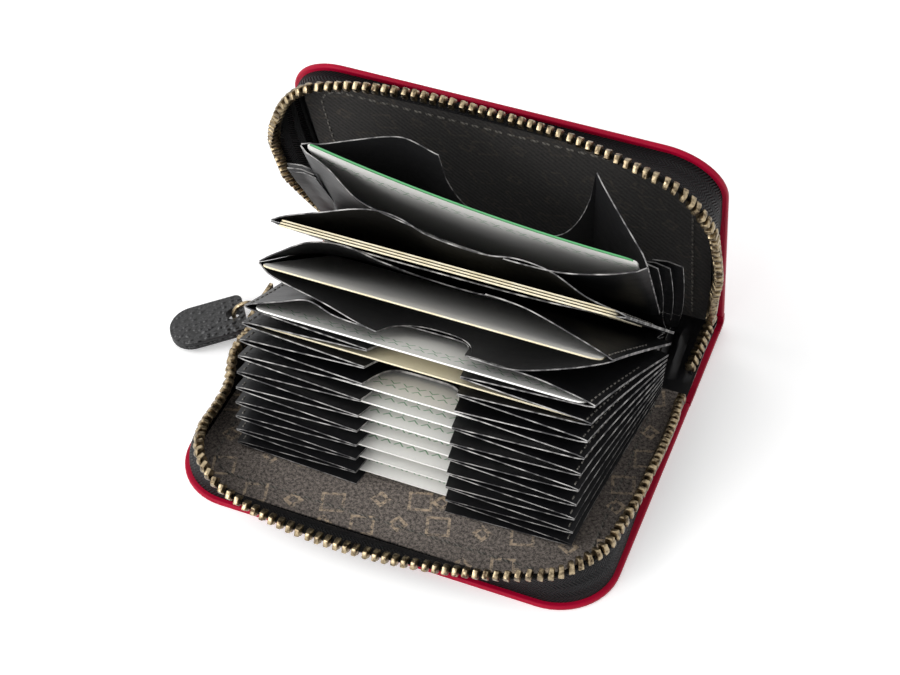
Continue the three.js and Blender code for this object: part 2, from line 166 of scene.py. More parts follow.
FOLD = Vector((0, 39.5, 1.5))
COVER_FOLD = Vector((0, 67.483, 2.477))
FAN = Vector((0, 58, 3.0))
FAN_RADIUS = 22.49
BAIL = Vector((-61.65, 21.5, 5.625))
PULL_TURN, PULL_DIP = radians(215), radians(9)
RING_RADIUS, RING_WIRE = 3.8, 1.25
SPINE_WIDTH = 28
LINING_GAP = 1.7  # from a lining's edge to the fold
STACKED, TOP_POCKET = 10, 13  # the last pocket of the even stack, and the highest one
SIDES = ((-1, "left"), (1, "right"))


def sizes():
    """Gives the sizes in millimetres."""
    group = bpy.context.scene.holder_sizes
    return SimpleNamespace(**{key: getattr(group, key) / MM for key in HolderSizes.__annotations__})


def turn(amount, axis):
    """Gives a turn about an axis."""
    return Matrix.Rotation(amount, 4, axis)


def ramp(value, start, full):
    """Gives a share that grows from 0 at the start to 1."""
    return min(1, max(0, (value - start) / (full - start)))


def places():
    """Gives the frame of each cover, the spine and the pull, with the fold along X and the cover towards -Y."""
    settings = bpy.context.scene.holder_settings
    return SimpleNamespace(
        bottom=Matrix.Translation(FOLD),
        spine=Matrix.Translation(FOLD) @ turn(settings.spine_tilt, "X"),
        top=Matrix.Translation(COVER_FOLD) @ turn(-settings.cover_lean, "X") @ turn(pi, "Y"),
        pull=Matrix.Translation(BAIL) @ turn(PULL_TURN, "Z") @ turn(PULL_DIP, "Y"))


def covers():
    """Gives the name, frame and body of both covers."""
    p = places()
    return ("bottom", p.bottom, "base"), ("top", p.top, "top_cover")


def pocket_angles():
    """Gives the lift of every pocket."""
    settings = bpy.context.scene.holder_settings
    stack = [settings.stack_angle + settings.stack_step * i for i in range(settings.stack_count)]
    return stack + list(settings.upper)


def fan_point(radius, lift, x=0.0):
    """Gives a point of the fan by its distance and lift from the fan's line."""
    return FAN + Vector((x, -radius * cos(lift), radius * sin(lift)))


def pocket_place(lift):
    """Gives the frame of a pocket: X along the mouth, -Y from root to mouth, Z off its upper wall."""
    return Matrix.Translation(fan_point(FAN_RADIUS, lift)) @ turn(-lift, "X")


# Mesh helpers

def deselect():
    """Leaves nothing selected, in object mode."""
    if bpy.context.object and bpy.context.object.mode != "OBJECT":
        bpy.ops.object.mode_set(mode="OBJECT")
    bpy.ops.object.select_all(action="DESELECT")


def pick(*objects):
    """Selects these objects only, the last one active."""
    deselect()
    for obj in objects:
        obj.select_set(True)
    bpy.context.view_layer.objects.active = objects[-1]


def edit(obj, chosen=None):
    """Goes into edit mode with the vertices selected that the test picks, or all."""
    pick(obj)
    for item in (*obj.data.vertices, *obj.data.edges, *obj.data.polygons):
        item.select = False
    for vertex in obj.data.vertices:
        vertex.select = chosen is None or chosen(vertex.co)
    bpy.ops.object.mode_set(mode="EDIT")
    bpy.ops.mesh.select_mode(type="VERT")


def modify(obj, kind, **settings):
    """Adds a modifier and applies it."""
    made = obj.modifiers.new(kind.title(), kind)
    for key, value in settings.items():
        setattr(made, key, value)
    pick(obj)
    bpy.ops.object.modifier_apply(modifier=made.name)


def soften(obj, width, segments, sharp):
    """Rounds the edges that are sharper than an angle in degrees."""
    modify(obj, "BEVEL", width=width, segments=segments, limit_method="ANGLE", angle_limit=radians(sharp))


def add_sheet(columns, rows, shape):
    """Adds a grid and moves each of its points to shape(u, v), u along the columns and v along the rows."""
    deselect()
    bpy.ops.mesh.primitive_grid_add(x_subdivisions=columns, y_subdivisions=rows, size=2)
    obj = bpy.context.object
    for vertex in obj.data.vertices:
        vertex.co = shape((vertex.co.x + 1) / 2, (vertex.co.y + 1) / 2)
    return obj


def add_plate(low, high, rounds, thickness, edge, offset=1.0):
    """Adds a plate on a rectangle, its corners rounded where rounds gives a radius, its edges softened."""
    deselect()
    bpy.ops.mesh.primitive_plane_add(size=2)
    obj = bpy.context.object
    for vertex in obj.data.vertices:
        vertex.co = (low[0] if vertex.co.x < 0 else high[0], low[1] if vertex.co.y < 0 else high[1], 0)
    for corner, radius in rounds:
        edit(obj, lambda co: (co.xy - Vector(corner)).length < 1e-4)
        bpy.ops.mesh.bevel(offset=radius, offset_type="OFFSET", segments=14, affect="VERTICES")
        bpy.ops.object.mode_set(mode="OBJECT")
    modify(obj, "SOLIDIFY", thickness=thickness, offset=offset)
    if edge:
        soften(obj, edge, 4, 50)
    return obj


def add_block(size, rise=0.0):
    """Adds a block of this size, its middle this far above the origin."""
    deselect()
    bpy.ops.mesh.primitive_cube_add(size=1)
    obj = bpy.context.object
    for vertex in obj.data.vertices:
        vertex.co = Vector((vertex.co.x * size[0], vertex.co.y * size[1], vertex.co.z * size[2] + rise))
    return obj


def add_stitch(size):
    """Models one stitch, a short round-ended thread along X."""
    obj = add_block(size)
    edit(obj, lambda co: co.z > 0)
    bpy.ops.transform.resize(value=(0.7, 0.6, 1))
    bpy.ops.object.mode_set(mode="OBJECT")
    return obj


def set_uv(obj, where):
    """Writes a UV map in metres from each point's place in millimetres."""
    layer = obj.data.uv_layers.active or obj.data.uv_layers.new()
    for loop in obj.data.loops:
        u, v = where(obj.data.vertices[loop.vertex_index].co)
        layer.data[loop.index].uv = (u * MM, v * MM)


def repeat(template, frames):
    """Copies a modelled shape to every frame, as one mesh, and takes the shape's place."""
    points = [vertex.co.copy() for vertex in template.data.vertices]
    faces = [tuple(face.vertices) for face in template.data.polygons]
    mesh = bpy.data.meshes.new("repeat")
    mesh.from_pydata([place @ point for place in frames for point in points], [],
                     [tuple(i + n * len(points) for i in face) for n in range(len(frames)) for face in faces])
    template.data = mesh
    return template


def join(*objects):
    """Joins objects into the last one."""
    pick(*objects)
    bpy.ops.object.join()
    return bpy.context.object


def paint(obj, *finishes, index=0):
    """Gives a part the finishes of its piece before it is thickened or joined, all faces with one of them."""
    obj.data.materials.clear()
    for key in finishes:
        obj.data.materials.append(material(key))
    obj.data.polygons.foreach_set("material_index", [index] * len(obj.data.polygons))
    return obj


def thicken(obj, thickness, *finishes):
    """Gives a sheet its thickness, and any finishes: the first for its faces and the second for its cut edge."""
    paint(obj, *finishes)
    modify(obj, "SOLIDIFY", thickness=thickness, offset=0.0, material_offset_rim=1)
    return obj


def finish_piece(obj, name, place, body, nodes, slot, *finishes):
    """Names a piece, puts it in place in metres, gives it its finishes, ties it to its body and hides the nodes it
    stands for; its slot is not used.
    """
    obj.name = obj.data.name = name
    obj.data.transform(Matrix.Scale(MM, 4) @ place @ obj.matrix_world)
    obj.matrix_world = Matrix.Identity(4)
    wanted = [min(face.material_index, len(finishes) - 1) for face in obj.data.polygons]
    paint(obj, *finishes)
    obj.data.polygons.foreach_set("material_index", wanted)
    edit(obj)
    bpy.ops.mesh.normals_make_consistent(inside=False)
    bpy.ops.object.mode_set(mode="OBJECT")
    pick(obj)
    bpy.ops.object.shade_smooth_by_angle(angle=radians(35))
    if body:
        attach(obj, body)
    if nodes:
        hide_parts(*nodes)
    return obj


# Paths and curves

def rim_path(inset, fold_gap, step):
    """Gives points round a cover's rim from the left end at the fold to the right one, and the rim's length.

    Each point comes with its outward normal and its share of the length.
    """
    s = sizes()
    half, radius = s.case_length / 2 - inset, s.corner_radius - inset
    straight = s.cover_depth - s.corner_radius - fold_gap
    front = s.case_length - 2 * s.corner_radius
    arc = radius * pi / 2
    total = 2 * straight + 2 * arc + front
    count = round(total / step)
    points = []
    for i in range(count + 1):
        at = total * i / count
        if at <= straight:
            point, normal = (-half, -fold_gap - at), (-1, 0)
        elif at <= straight + arc:
            a = pi + (at - straight) / radius
            normal = (cos(a), sin(a))
            point = (-half + radius + radius * cos(a), -s.cover_depth + s.corner_radius + radius * sin(a))
        elif at <= straight + arc + front:
            point, normal = (-half + radius + at - straight - arc, -s.cover_depth + inset), (0, -1)
        elif at <= straight + 2 * arc + front:
            a = 1.5 * pi + (at - straight - arc - front) / radius
            normal = (cos(a), sin(a))
            point = (half - radius + radius * cos(a), -s.cover_depth + s.corner_radius + radius * sin(a))
        else:
            point, normal = (half, -fold_gap - (total - at)), (1, 0)
        points.append((Vector((*point, 0)), Vector((*normal, 0)), at / total))
    return points, total


def between(path, at):
    """Gives the point of a rim path at a share of its length."""
    i = min(int(at * (len(path) - 1)), len(path) - 2)
    (a, na, sa), (b, nb, sb) = path[i], path[i + 1]
    t = (at - sa) / (sb - sa)
    return a.lerp(b, t), na.lerp(nb, t).normalized(), at


def smooth_curve(points, x):
    """Gives the height at x of a smooth curve through points that rise in x."""
    last = len(points) - 1
    i = max(k for k in range(last) if points[k][0] <= x or k == 0)
    near = [(points[max(k - 1, 0)], points[min(k + 1, last)]) for k in (i, i + 1)]
    slope = [(b[1] - a[1]) / (b[0] - a[0]) for a, b in near]
    (x0, y0), (x1, y1) = points[i], points[i + 1]
    t, span = ramp(x, x0, x1), x1 - x0
    return (y0 * (1 + 2 * t) * (1 - t) ** 2 + slope[0] * span * t * (1 - t) ** 2
            + y1 * t * t * (3 - 2 * t) - slope[1] * span * t * t * (1 - t))


def rounded(x, y, low, high, radius):
    """Pulls a point of a rectangle in to its rounded corners; a corner with no radius stays sharp."""
    for cx, cy, r in ((low[0], low[1], radius[0]), (high[0], low[1], radius[0]),
                      (low[0], high[1], radius[1]), (high[0], high[1], radius[1])):
        mx, my = cx + copysign(r, -cx), cy + copysign(r, (low[1] + high[1]) / 2 - cy)
        dx, dy = x - mx, y - my
        if r and dx * (cx - mx) > 0 and dy * (cy - my) > 0:
            reach = max(abs(dx), abs(dy)) / hypot(dx, dy)
            return mx + dx * reach, my + dy * reach
    return x, y


def ripple(x, y, size):
    """Gives a slow uneven wave between -1 and 1 that crosses a sheet."""
    return (sin(x / size + 1.3) * cos(y / size * 1.3 + 0.4) + sin(x / size * 0.43 + y / size * 0.71)) / 2


# Lean of each tape, as shares of its length with degrees outwards
TAPE_LEAN = {
    "bottom": ((0, 0), (0.15, 0), (0.2, -28), (0.27, -25), (0.31, 0), (0.34, 33), (0.39, 56), (0.45, 66), (0.51, 65),
               (0.57, 55), (0.635, 35), (0.68, 8), (0.717, -14), (0.77, -5), (0.835, 9), (0.95, 12), (0.98, 0), (1, 0)),
    "top": ((0, 0), (0.03, 0), (0.06, 12), (0.134, 20), (0.166, 24), (0.235, 14), (0.275, 12), (0.31, 30), (0.34, 43),
            (0.377, 57), (0.425, 69), (0.5, 75), (0.575, 75), (0.635, 65), (0.675, 48), (0.71, 20), (0.737, 11),
            (0.77, 25), (0.81, 44), (0.87, 42), (0.93, 25), (0.98, 0), (1, 0)),
}
TAPE_LEVELS = 16
LEAN_GAIN = 1.6  # the lean is full at 1 / 1.6 of the tape's height


def tape_height(point):
    """Gives the tape's top above the fold's level at a point of the rim."""
    s = sizes()
    rise = ramp(-point.y, s.tape_gap, s.tape_gap + s.tape_run)
    return s.tape_end_top + (s.tape_top - s.tape_end_top) * rise - s.leather


def tape_frame(cover, step, v):
    """Gives the frame on the soft tape at a share v of its height: X along the row, Y outward, Z up the tape."""
    point, normal, at = step
    lean = radians(smooth_curve(TAPE_LEAN[cover], at))
    up, place, height = Vector((0, 0, 1)), point.copy(), tape_height(point)
    for k in range(TAPE_LEVELS):
        share = min(1, max(0, v * TAPE_LEVELS - k))
        bend = lean * min(1, (k + 0.5) / TAPE_LEVELS * LEAN_GAIN)
        place += (normal * sin(bend) + up * cos(bend)) * height / TAPE_LEVELS * share
    bend = lean * min(1, v * LEAN_GAIN)
    rise, out = normal * sin(bend) + up * cos(bend), normal * cos(bend) - up * sin(bend)
    return Matrix.Translation(place) @ Matrix((out.cross(rise), out, rise)).transposed().to_4x4()


# Materials

PLACE, SURFACE = ("TexCoord", "Object"), ("UVMap", 0)
RGBA = {"data_type": "RGBA"}
FACTOR, FIRST, SECOND, MIXED = 0, 6, 7, 2  # sockets of a Mix node that mixes colours
ADD, MULTIPLY, COMPARE, MAXIMUM = ({"operation": name} for name in ("ADD", "MULTIPLY", "COMPARE", "MAXIMUM"))
FLAT_CELLS = {"voronoi_dimensions": "2D", "distance": "MANHATTAN"}
FLAT_SQUARES = {"voronoi_dimensions": "2D", "distance": "CHEBYCHEV"}


def set_inputs(node, values):
    """Sets a node's inputs, or links them where the value is another node's output."""
    for key, value in dict(values).items():
        if isinstance(value, bpy.types.NodeSocket):
            node.id_data.links.new(value, node.inputs[key])
        else:
            node.inputs[key].default_value = value


def add_node(tree, kind, settings=(), inputs=(), out=0):
    """Adds a shader node with its settings and links, and gives one of its outputs."""
    made = tree.nodes.new("ShaderNode" + kind)
    for key, value in dict(settings).items():
        setattr(made, key, value)
    set_inputs(made, inputs)
    return made.outputs[out]


def per_mm(size):
    """Gives a texture scale whose features are this many millimetres across."""
    return 1 / (size * MM)


def tint(key, factor=1.0):
    """Gives one of the colours, made darker by a factor."""
    tone = getattr(bpy.context.scene.holder_colours, key)
    return (tone[0] * factor, tone[1] * factor, tone[2] * factor, 1.0)


def new_material(name, pattern_on=None):
    """Gives a new material, what adds nodes to it, its Principled shader and its patterns' coordinates."""
    made = bpy.data.materials.new(name)
    made.use_nodes = True
    node = partial(add_node, made.node_tree)
    where = node(pattern_on[0], out=pattern_on[1]) if pattern_on else None
    return made, node, made.node_tree.nodes["Principled BSDF"], where


def red_leather():
    # finished calf leather: deep crimson and satin, with a soft mottle and fine pores
    made, node, shader, where = new_material("red finished leather", PLACE)
    mottle = node("TexNoise", (), {"Vector": where, "Scale": per_mm(7), "Detail": 4}, "Fac")
    pores = node("TexVoronoi", (), {"Vector": where, "Scale": per_mm(0.6)}, "Distance")
    tone = node("Mix", RGBA, {FACTOR: mottle, FIRST: tint("leather_dark"), SECOND: tint("leather")}, MIXED)
    rough = node("MapRange", (), {"Value": mottle, "To Min": 0.42, "To Max": 0.54})
    bump = node("Bump", (), {"Strength": 0.2, "Distance": 0.05 * MM, "Height": pores})
    set_inputs(shader, {"Base Color": tone, "Roughness": rough, "Normal": bump, "Specular IOR Level": 0.14})
    return made


def lining_cloth(name, shade, print_strength):
    # heathered cotton twill: matt, with a worn print of lozenges and squares, its twill drawn coarse so that it shows
    # shade scales every colour of the cloth: 1 is the cloth itself, and less paints shade on it
    made, node, shader, where = new_material(name, SURFACE)
    heather = node("TexNoise", (), {"Vector": where, "Scale": per_mm(0.8), "Detail": 4, "Roughness": 0.85}, "Fac")
    spread = node("MapRange", (), {"Value": heather, "From Min": 0.4, "From Max": 0.62})
    ground = node("Mix", RGBA, {FACTOR: spread, FIRST: tint("lining_dark", shade),
                                SECOND: tint("lining", shade)}, MIXED)
    turned = node("Mapping", (), {"Vector": where, "Rotation": (0, 0, radians(28))})
    large = node("TexVoronoi", FLAT_CELLS, {"Vector": turned, "Scale": per_mm(14), "Randomness": 0.45}, "Distance")
    moved = node("Mapping", (), {"Vector": turned, "Location": (7 * MM, 7 * MM, 0)})
    small = node("TexVoronoi", FLAT_SQUARES, {"Vector": moved, "Scale": per_mm(14), "Randomness": 0.45}, "Distance")
    lozenge = node("Math", COMPARE, {0: large, 1: 0.27, 2: 0.038})
    square = node("Math", COMPARE, {0: small, 1: 0.1, 2: 0.034})
    motif = node("Math", MAXIMUM, {0: lozenge, 1: square})
    wear = node("TexNoise", (), {"Vector": where, "Scale": per_mm(1.6), "Detail": 5, "Roughness": 0.75}, "Fac")
    worn = node("MapRange", (), {"Value": wear, "From Min": 0.4, "From Max": 0.58, "To Min": 0.0,
                                 "To Max": print_strength})
    shown = node("Math", MULTIPLY, {0: motif, 1: worn})
    tone = node("Mix", RGBA, {FACTOR: shown, FIRST: ground, SECOND: tint("lining_print", shade)}, MIXED)
    weave = node("TexWave", {"bands_direction": "DIAGONAL"},
                 {"Vector": where, "Scale": per_mm(3.2), "Distortion": 0.6, "Detail": 1}, "Fac")
    bump = node("Bump", (), {"Strength": 0.6, "Distance": 0.08 * MM, "Height": weave})
    set_inputs(shader, {"Base Color": tone, "Normal": bump, "Roughness": 0.85, "Sheen Weight": 0.1})
    return made


def tape_weave():
    # black polyester zip tape: herringbone ribs drawn a little coarse so that they show, their tops painted lighter and
    # the grooves between them darker, a painted highlight and painted shade on the one black yarn
    made, node, shader, where = new_material("herringbone zip tape", SURFACE)
    parts = node("SeparateXYZ", (), {0: where}).node.outputs
    zig = node("Math", {"operation": "PINGPONG"}, {0: parts[1], 1: 1.6 * MM})
    slant = node("Math", ADD, {0: parts[0], 1: zig})
    phase = node("Math", MULTIPLY, {0: slant, 1: 2 * pi / (0.95 * MM)})
    rib = node("Math", {"operation": "SINE"}, {0: phase})
    # the rib's sine is a mask of painted light: a lighter colour on the ribs and painted shade between them
    light = node("MapRange", (), {"Value": rib, "From Min": -1.0, "To Min": 0.0, "To Max": 1.0})
    tone = node("Mix", RGBA, {FACTOR: light, FIRST: tint("tape_dark"), SECOND: tint("tape")}, MIXED)
    bump = node("Bump", (), {"Strength": 1.0, "Distance": 0.5 * MM, "Height": rib})
    set_inputs(shader, {"Base Color": tone, "Normal": bump, "Roughness": 0.6, "Specular IOR Level": 0.2})
    return made


def aged_brass():
    # antique brass: pale worn tops, brown patina in the hollows
    made, node, shader, where = new_material("aged brass", PLACE)
    patina = node("TexNoise", (), {"Vector": where, "Scale": per_mm(1.2), "Detail": 4}, "Fac")
    spread = node("MapRange", (), {"Value": patina, "From Min": 0.35, "From Max": 0.6})
    rough = node("MapRange", (), {"Value": patina, "To Min": 0.45, "To Max": 0.2})
    tone = node("Mix", RGBA, {FACTOR: spread, FIRST: tint("brass_dark"), SECOND: tint("brass")}, MIXED)
    set_inputs(shader, {"Base Color": tone, "Roughness": rough, "Metallic": 1.0})
    return made


def pocket_leatherette():
    # thin near-black leatherette: satin face with a fine pore and faint creases
    made, node, shader, where = new_material("black pocket leatherette", PLACE)
    crease = node("TexNoise", (), {"Vector": where, "Scale": per_mm(9), "Detail": 3}, "Fac")
    pores = node("TexVoronoi", (), {"Vector": where, "Scale": per_mm(0.5)}, "Distance")
    low = node("Bump", (), {"Strength": 0.4, "Distance": 0.8 * MM, "Height": crease})
    bump = node("Bump", (), {"Strength": 0.3, "Distance": 0.05 * MM, "Height": pores, "Normal": low})
    tone = node("Mix", RGBA, {FACTOR: crease, FIRST: tint("sheet"), SECOND: tint("sheet_pale")}, MIXED)
    rough = node("MapRange", (), {"Value": crease, "To Min": 0.36, "To Max": 0.5})
    set_inputs(shader, {"Base Color": tone, "Roughness": rough, "Normal": bump, "Specular IOR Level": 0.32})
    return made


def cut_edge():
    # raw cut of the leatherette: a slightly frayed line whose pale grey is partly the cut's own colour and partly a
    # painted highlight, the light that the thin edges catch
    made, node, shader, where = new_material("cut leatherette edge", PLACE)
    fray = node("TexNoise", (), {"Vector": where, "Scale": per_mm(3), "Detail": 4}, "Fac")
    spread = node("MapRange", (), {"Value": fray, "From Min": 0.4, "From Max": 0.66})
    tone = node("Mix", RGBA, {FACTOR: spread, FIRST: tint("cut_edge_dark"), SECOND: tint("cut_edge")}, MIXED)
    set_inputs(shader, {"Base Color": tone, "Roughness": 0.7})
    return made


def card_face(name, stock, row=0, band=0):
    # smooth card stock: satin, with a row of green lozenge outlines or a green line along its free edge
    made, node, shader, where = new_material(name, SURFACE)
    down = node("SeparateXYZ", (), {0: where}, "Y")
    soil = node("TexNoise", (), {"Vector": where, "Scale": per_mm(20), "Detail": 3}, "Fac")
    tone = node("Mix", RGBA, {FACTOR: soil, FIRST: tint(stock), SECOND: tint(stock, 0.93)}, MIXED)
    if band:
        edge = node("Math", {"operation": "LESS_THAN"}, {0: down, 1: band * MM})
        tone = node("Mix", RGBA, {FACTOR: edge, FIRST: tone, SECOND: tint("card_print")}, MIXED)
    if row:
        cells = node("TexVoronoi", FLAT_CELLS, {"Vector": where, "Scale": per_mm(3.4), "Randomness": 0.0}, "Distance")
        lines = node("Math", COMPARE, {0: cells, 1: 0.36, 2: 0.07})
        inside = node("Math", COMPARE, {0: down, 1: row * MM, 2: 1.7 * MM})
        mask = node("Math", MULTIPLY, {0: lines, 1: inside})
        faint = node("Math", MULTIPLY, {0: mask, 1: 0.75})
        tone = node("Mix", RGBA, {FACTOR: faint, FIRST: tone, SECOND: tint("card_print")}, MIXED)
    set_inputs(shader, {"Base Color": tone, "Roughness": 0.35})
    return made


def card_edge():
    # cut edge of the card stock: cream, matt
    made, node, shader, where = new_material("cream card edge", PLACE)
    grime = node("TexNoise", (), {"Vector": where, "Scale": per_mm(3), "Detail": 2}, "Fac")
    tone = node("Mix", RGBA, {FACTOR: grime, FIRST: tint("card_edge"), SECOND: tint("card_edge_pale")}, MIXED)
    set_inputs(shader, {"Base Color": tone, "Roughness": 0.6})
    return made


def pebbled_leather():
    # black pebbled leather: rounded grains with a dull shine, their tops painted lighter and the hollows between them
    # darker, a painted highlight and painted shade
    made, node, shader, where = new_material("black pebbled leather", PLACE)
    pebble = node("TexVoronoi", {"feature": "SMOOTH_F1"},
                  {"Vector": where, "Scale": per_mm(1.5), "Smoothness": 0.3}, "Distance")
    tops = node("MapRange", (), {"Value": pebble, "From Max": 0.7, "To Min": 1.0, "To Max": 0.0})
    bump = node("Bump", (), {"Strength": 1.0, "Distance": 0.7 * MM, "Height": tops})
    # grain height as a mask: painted highlight on the tops and painted shade in the hollows
    tone = node("Mix", RGBA, {FACTOR: tops, FIRST: tint("tab_hollow_shade"), SECOND: tint("tab")}, MIXED)
    set_inputs(shader, {"Base Color": tone, "Normal": bump, "Roughness": 0.34})
    return made


def thread(name, shade):
    # twisted polyester thread: dull, its ply drawn coarse so that it shows
    made, node, shader, where = new_material(name, PLACE)
    ply = node("TexWave", {"bands_direction": "DIAGONAL"}, {"Vector": where, "Scale": per_mm(2)}, "Fac")
    tone = node("Mix", RGBA, {FACTOR: ply, FIRST: tint("thread", 0.25 * shade), SECOND: tint("thread", shade)}, MIXED)
    set_inputs(shader, {"Base Color": tone, "Roughness": 0.7})
    return made


MATERIALS = {
    "leather": (red_leather,),
    "print": (lining_cloth, "printed cotton lining", 1.0, 0.9),
    # the top cover's lining: the same cloth darkened to 0.12 and with a fainter print, which is painted shade for the
    # shade it lies in
    "dark": (lining_cloth, "shaded cotton lining", 0.12, 0.7),
    "tape": (tape_weave,),
    "brass": (aged_brass,),
    "sheet": (pocket_leatherette,),
    "cut": (cut_edge,),
    "edge": (card_edge,),
    "card": (card_face, "white card", "card"),
    "cream": (card_face, "cream card", "cream"),
    "lined": (card_face, "card with green lozenges", "card", 5.1),
    "topped": (card_face, "card with green top", "card", 8.5, 0.9),
    "pebble": (pebbled_leather,),
    "thread": (thread, "grey thread", 1.0),
    "brown": (thread, "brown thread", 0.95),
}
made_materials = {}


def material(key):
    """Gives a material by its key, made at its first use."""
    if key not in made_materials:
        make, *choices = MATERIALS[key]
        made_materials[key] = make(*choices)
    return made_materials[key]


# Pieces

def along(points, pitch, level):
    """Gives frames at even steps along a rim path and at one level, X along the path and Y outward."""
    frames, at, index = [], pitch / 2, 0
    while at < 1 - 1e-6:
        while index < len(points) - 2 and points[index + 1][2] < at:
            index += 1
        (a, na, sa), (b, nb, sb) = points[index], points[index + 1]
        t = (at - sa) / (sb - sa)
        place, normal = a.lerp(b, t), na.lerp(nb, t).normalized()
        run = Vector((-normal.y, normal.x, 0))
        turned = Matrix((run, normal, Vector((0, 0, 1)))).transposed().to_4x4()
        frames.append(Matrix.Translation(place + Vector((0, 0, level))) @ turned)
        at += pitch
    return frames


def up_slope(tilt):
    """Gives the direction up a panel's slope, away from the bottom cover."""
    return Vector((0, cos(tilt), sin(tilt)))


def off_slope(tilt):
    """Gives the direction out of a panel's leather."""
    return Vector((0, sin(tilt), -cos(tilt)))


class HOLDER_OT_covers(bpy.types.Operator):
    """Models the outer leather of both covers and the spine, with the soft creases between them"""
    bl_idname = "holder.covers"
    bl_label = "Covers"

    def execute(self, context):
        s, settings = sizes(), context.scene.holder_settings
        half, front = s.case_length / 2, -s.cover_depth
        corners = (((-half, front), s.corner_radius), ((half, front), s.corner_radius))
        cover_edge, spine_edge = 0.55, 0.3
        for name, place, body in covers():
            plate = add_plate((-half, front), (half, -s.crease), corners, s.leather, cover_edge, -1)
            finish_piece(plate, name + "_leather", place, body, [name + "_cover"], "red_leather", "leather")
            paint(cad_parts[name + "_board"], "edge")
        spine = add_plate((-half, s.crease), (half, SPINE_WIDTH - s.crease), (), s.leather, spine_edge, -1)
        finish_piece(spine, "spine_leather", places().spine, "spine", ["spine_cover", "spine_fold"], "red_leather",
                     "leather")
        self.crease("lower_crease", FOLD, 0, settings.spine_tilt, "base", "spine")
        self.crease("upper_crease", COVER_FOLD, settings.spine_tilt, pi - settings.cover_lean, "spine", "top_cover")
        return {"FINISHED"}

    def crease(self, name, fold, first, second, body, next_body):
        """Models the leather and the lining that bend round one fold, from one panel's slope to the next one's."""
        s = sizes()
        half, middle = s.case_length / 2, s.leather / 2
        start, end = 0.3, 0.7  # shares of the crease between which it bends

        def profile(t):
            if t < start:
                return fold - up_slope(first) * s.crease * (1 - t / start) + off_slope(first) * middle
            if t > end:
                return fold + up_slope(second) * s.crease * (t - end) / (1 - end) + off_slope(second) * middle
            return fold + off_slope(first + (second - first) * (t - start) / (end - start)) * middle

        clearance = 0.04
        leather = add_sheet(2, 30, lambda u, v: profile(v) + Vector((half * (2 * u - 1), 0, 0)))
        thicken(leather, s.leather - clearance)
        finish_piece(leather, name, Matrix.Identity(4), None, [], "red_leather", "leather")
        reach, rise, dip, inset, thickness = 3.2, 1.05, 0.55, 1.4, 0.35
        ends = (fold - up_slope(first) * reach - off_slope(first) * rise,
                fold - (off_slope(first) + off_slope(second)) * dip,
                fold + up_slope(second) * reach - off_slope(second) * rise)
        lining = add_sheet(2, 20, lambda u, v: ends[0] * (1 - v) ** 2 + ends[1] * 2 * v * (1 - v) + ends[2] * v ** 2
                           + Vector(((half - inset) * (2 * u - 1), 0, 0)))
        thicken(lining, thickness)
        finish_piece(lining, name + "_lining", Matrix.Identity(4), None, [], "pocket_sheet", "sheet")
        bend = 0.4
        low = fold - up_slope(first) * bend + off_slope(first) * middle
        high = fold + up_slope(second) * bend + off_slope(second) * middle
        for obj in (leather, lining):
            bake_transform(obj)


class HOLDER_OT_linings(bpy.types.Operator):
    """Models the cloth linings of the covers and the spine, and the stitches along the covers' linings"""
    bl_idname = "holder.linings"
    bl_label = "Linings"

    def execute(self, context):
        s = sizes()
        half, front = s.case_length / 2 - s.lining_inset, -s.cover_depth + s.lining_inset
        deep = -LINING_GAP - front
        radius = s.corner_radius - s.lining_inset
        rise = s.lining_level + s.lining / 2 - s.leather
        wave, wave_size = 0.05, 5

        def shape(u, v):
            x, y = rounded(half * (2 * u - 1), front + deep * v, (-half, front), (half, -LINING_GAP), (radius, 0))
            return Vector((x, y, rise + wave * ripple(x, y, wave_size)))

        stitch, stitch_pitch, stitch_gap, stitch_rise = (2.2, 0.6, 0.36), 3.1, 4, 0.14
        for name, place, body in covers():
            obj = add_sheet(72, 48, shape)
            set_uv(obj, lambda co: (co.x, co.y))
            thicken(obj, s.lining)
            # the top cover's lining takes the darkened copy of the cloth, painted shade
            finish_piece(obj, name + "_lining_cloth", place, body, [name + "_lining"], "lining",
                         "print" if name == "bottom" else "dark")
            path, row = rim_path(s.lining_inset + s.stitch_inset, stitch_gap, 0.5)
            frames = along(path, stitch_pitch / row, rise + s.lining / 2 + stitch_rise)
            stitches = repeat(add_stitch(stitch), frames)
            finish_piece(stitches, name + "_lining_stitches", place, body, [], "lining", "brown")
        width, level, spine_wave = SPINE_WIDTH - 2 * LINING_GAP, 0.35, 0.04
        obj = add_sheet(60, 16, lambda u, v: Vector((half * (2 * u - 1), LINING_GAP + width * v,
                                                     level + spine_wave * ripple(u * 110, v * 25, wave_size))))
        set_uv(obj, lambda co: (co.x, co.y))
        thicken(obj, s.lining)
        finish_piece(obj, "spine_lining_cloth", places().spine, "spine", ["spine_lining"], "lining", "sheet")
        return {"FINISHED"}


